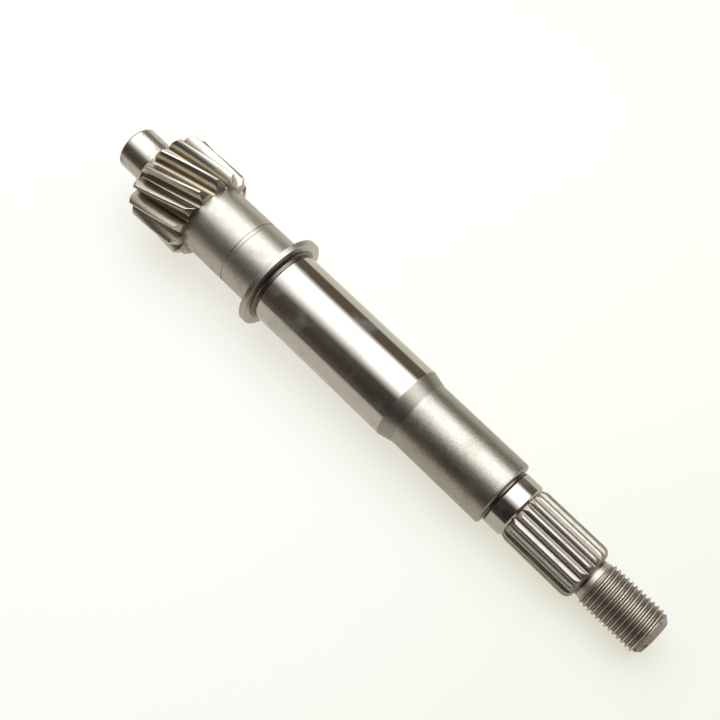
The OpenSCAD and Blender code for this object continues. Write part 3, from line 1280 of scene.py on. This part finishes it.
@dataclass(frozen=True)
class Floor:
    """Pale round floor that the shaft lies on, with a faint shadow. Sizes are in metres."""

    radius: float = 0.29
    middle: float = -0.12
    glow: Colour = (0.72, 0.707, 0.632)
    end_glow: Colour = (0.63, 0.62, 0.515)
    # Painted light: a paler glow on the floor behind the shaft, where the light falls
    far_painted_light: Colour = (0.87, 0.85, 0.64)
    colour: Colour = (0.22, 0.217, 0.223)
    end_fade: Fade = (-0.05, 0.12)
    far_fade: Fade = (0.0, 0.09)
    # Painted shade on the near side of the shaft: the glow fades out there in reflections and dims
    # for the camera
    near_fade: Fade = (0.05, 0.24)
    near_painted_shade: float = 0.12
    rim_fade: Fade = (0.21, 0.285)

    SPOKES = 97
    RINGS = 5

    def build(self) -> bpy.types.Object:
        """A flat disc at height 0: ring radius times the direction of each angle.

        Returns:
            The floor.
        """
        angle = np.linspace(0.0, 2 * np.pi, self.SPOKES)[None, :]
        ring = self.radius * np.linspace(0.0, 1.0, self.RINGS)[:, None]
        x = ring * np.cos(angle)
        y = ring * np.sin(angle) + self.middle
        floor = link_surface("floor", np.stack([x, y, 0.0 * x], axis=-1))
        floor.data.materials.append(self.cloth())
        return floor

    def cloth(self) -> bpy.types.Material:
        """The floor's cloth. It glows with a pale tone to the camera and in reflections, with painted
        light making it paler behind the shaft, a little deeper towards the threaded end, and painted
        shade where it fades out on the near side of the shaft, and adds the light that falls on it.
        To the camera its rim dissolves into the surroundings.

        Returns:
            The material.
        """
        material, sheet = new_material("pale_floor")
        camera = sheet.make("ShaderNodeLightPath", {}, {}, output="Is Camera Ray")
        paths = camera.socket.node.outputs
        mirrored = Shade(sheet, paths["Is Glossy Ray"]) + Shade(sheet, paths["Is Transmission Ray"])
        place = sheet.place()
        x, y, _ = sheet.axes(place)
        # Painted light behind the shaft
        pale = sheet.mix(y.step(*self.far_fade), self.glow, self.far_painted_light)
        pale = sheet.mix(x.step(*self.end_fade), pale, self.end_glow)
        # Painted shade on the near side of the shaft
        front_painted_shade = (-y).step(*self.near_fade)
        seen = camera * (1 - front_painted_shade * self.near_painted_shade) + mirrored * (1 - front_painted_shade)
        tone = sheet.make("ShaderNodeEmission", {}, {"Color": pale, "Strength": seen})
        dull = sheet.make("ShaderNodeBsdfDiffuse", {}, {"Color": self.colour})
        surface = sheet.make("ShaderNodeAddShader", {}, {0: tone, 1: dull})
        inputs = {0: place, 1: (0.0, self.middle, 0.0)}
        reach = sheet.make("ShaderNodeVectorMath", {"operation": "DISTANCE"}, inputs, output="Value")
        clear = sheet.make("ShaderNodeBsdfTransparent", {}, {})
        inputs = {0: reach.step(*self.rim_fade) * camera, 1: surface, 2: clear}
        sheet.close(sheet.make("ShaderNodeMixShader", {}, inputs))
        return material


@dataclass(frozen=True)
class LightTent:
    """Dome of cloth round the floor, with a bright band overhead, darker sides and a pale horizon
    behind the shaft. Its radius is in metres."""

    radius: float = 1.5
    strength: float = 3.4
    backdrop: float = 0.42
    dark: Colour = (0.03, 0.0265, 0.0245)
    brown: Colour = (0.067, 0.057, 0.0513)
    white: Colour = (1.0, 1.085, 1.175)
    lowest: float = math.radians(130.0)
    far_edge: Fade = degrees(-63.0, -40.0)
    far_shift: float = math.radians(6.5)
    far_shift_fade: Fade = (-0.4, -0.26)
    near_edge: Fade = degrees(-9.0, 35.0)
    slant: float = math.radians(18.0)
    slant_from: float = -0.19
    thread_fade: Fade = (0.2, 0.75)
    pilot_fade: Fade = (0.55, 0.9)
    side_fade: Fade = degrees(-40.0, 20.0)
    dark_level: float = 1.2
    haze: float = 0.8
    haze_fade: Fade = degrees(30.0, 62.0)
    skirt: float = 0.9
    skirt_fade: Fade = degrees(70.0, 90.0)
    dim: float = 0.52
    dim_fade: Fade = (-0.3, -0.05)
    warm: float = 0.7
    warm_fade: Fade = (0.3, 0.5)
    lift: float = 0.25
    lift_fade: Fade = (-0.24, -0.14)
    horizon_fade: Fade = degrees(-100.0, -86.0)

    SPOKES = 73
    RINGS = 33
    CROWN = 0.001

    def build(self) -> bpy.types.Object:
        """The dome: radius times the direction of an azimuth and a zenith angle.

        Returns:
            The dome.
        """
        azimuth = np.linspace(0.0, 2 * np.pi, self.SPOKES)[None, :]
        zenith = np.linspace(self.CROWN, self.lowest, self.RINGS)[:, None]
        ring = np.sin(zenith)
        x = ring * np.cos(azimuth)
        y = ring * np.sin(azimuth)
        z = np.cos(zenith) + 0.0 * azimuth
        dome = link_surface("light_tent", self.radius * np.stack([x, y, z], axis=-1))
        dome.data.materials.append(self.glow())
        dome.visible_camera = False
        return dome

    def glow(self) -> bpy.types.Material:
        """The cloth's glow. It rises and falls with the angle across the shaft; its edges are
        slanted along the shaft, and it fades towards both ends. Outside the bright band it is
        brown on the far side and dark on the near one, with a haze, a skirt and a pale horizon.
        Places along the shaft are shares of the tent's radius.

        Returns:
            The material.
        """
        material, sheet = new_material("tent_cloth")
        x, y, z = sheet.axes(sheet.place())
        x = x * (1 / self.radius)
        angle = y.math("ARCTAN2", -y, z)
        shifted = angle - x.step(*self.far_shift_fade) * self.far_shift
        slanted = angle + (x - self.slant_from) * self.slant
        band = shifted.step(*self.far_edge) * (1 - slanted.step(*self.near_edge))
        ends = (1 - x.step(*self.thread_fade)) * (1 - (-x).step(*self.pilot_fade))
        haze = (1 - angle.step(*self.haze_fade)) * self.haze
        skirt = angle.step(*self.skirt_fade) * self.skirt
        dim = (1 - x.step(*self.dim_fade) * self.dim) * (self.dark_level + haze + skirt)
        warm = 1 + (-x).step(*self.warm_fade) * self.warm
        lift = 1 + x.step(*self.lift_fade) * self.lift
        brown = sheet.scale(self.brown, warm)
        dark = sheet.scale(self.dark, dim)
        shade = sheet.mix(angle.step(*self.side_fade), brown, dark)
        horizon = (1 - angle.step(*self.horizon_fade)) * self.backdrop
        shade = sheet.mix(horizon, shade, self.white)
        colour = sheet.mix(band * ends, shade, sheet.scale(self.white, lift))
        inputs = {"Color": colour, "Strength": self.strength}
        sheet.close(sheet.make("ShaderNodeEmission", {}, inputs))
        return material


@dataclass(frozen=True)
class ShaftCamera:
    """Camera over the shaft, looking down at its side. Lengths are in mm, clips in metres."""

    lens: float = 60.0
    sensor: float = 36.0
    distance: float = 290.3
    aim: float = 82.38
    aside: float = 0.2
    lean: float = math.radians(14.18)
    swing: float = math.radians(19.3)
    image_turn: float = math.radians(43.52)
    clip_start: float = 0.01
    clip_end: float = 20.0

    def build(self, pose: Pose) -> bpy.types.Object:
        """Aims at a point of the axis from a direction that swings from the upper normal towards
        -Y and leans towards the threaded end; then turns the image by the shaft's slope in it.

        Args:
            pose: where the shaft lies.

        Returns:
            The camera, set as the scene's own.
        """
        up = -pose.down
        away = math.cos(self.swing) * up - math.sin(self.swing) * pose.side
        back = math.cos(self.lean) * away + math.sin(self.lean) * pose.axis
        ahead = -back
        line = pose.axis - np.dot(pose.axis, ahead) * ahead
        line /= np.linalg.norm(line)
        beside = np.cross(ahead, line)
        right = math.cos(self.image_turn) * line - math.sin(self.image_turn) * beside
        below = math.sin(self.image_turn) * line + math.cos(self.image_turn) * beside
        aim = self.aim * pose.axis + self.aside * beside
        spot = pose.origin + MM * (aim + self.distance * back)
        data = bpy.data.cameras.new("camera")
        data.lens = self.lens
        data.sensor_width = self.sensor
        data.clip_start = self.clip_start
        data.clip_end = self.clip_end
        camera = bpy.data.objects.new("camera", data)
        turn = Matrix((Vector(right), Vector(-below), Vector(back))).transposed().to_4x4()
        camera.matrix_world = Matrix.Translation(Vector(spot)) @ turn
        bpy.context.scene.collection.objects.link(camera)
        bpy.context.scene.camera = camera
        return camera


def paint_world() -> None:
    """Plain white surroundings, which only the camera sees past the tent."""
    world = bpy.data.worlds.new("surroundings")
    world.use_nodes = True
    sheet = NodeSheet(world.node_tree)
    back = sheet.make("ShaderNodeBackground", {}, {"Color": SURROUNDINGS, "Strength": 1.0})
    sheet.make("ShaderNodeOutputWorld", {}, {"Surface": back})
    bpy.context.scene.world = world


def main() -> None:
    """Builds the stage, the camera and the shaft."""
    logging.basicConfig(level=logging.INFO, format="%(name)s: %(message)s")
    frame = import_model()
    bpy.context.scene.view_settings.view_transform = "Standard"
    pose = Pose.from_record(frame["record"])
    LOG.info("tilt %.3f degrees", math.degrees(pose.tilt))
    ShaftCamera().build(pose)
    paint_world()
    LOG.info("stage: %s, %s", Floor().build().name, LightTent().build().name)
    finishes = [FINISHES[zone].material(pose) for zone in Zone]
    skin = ShaftSkin(pose).build(finishes)
    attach(skin, BODY)
    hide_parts(NODE)
    LOG.info("%s rides on %s", skin.name, BODY)


if __name__ == "__main__":
    main()
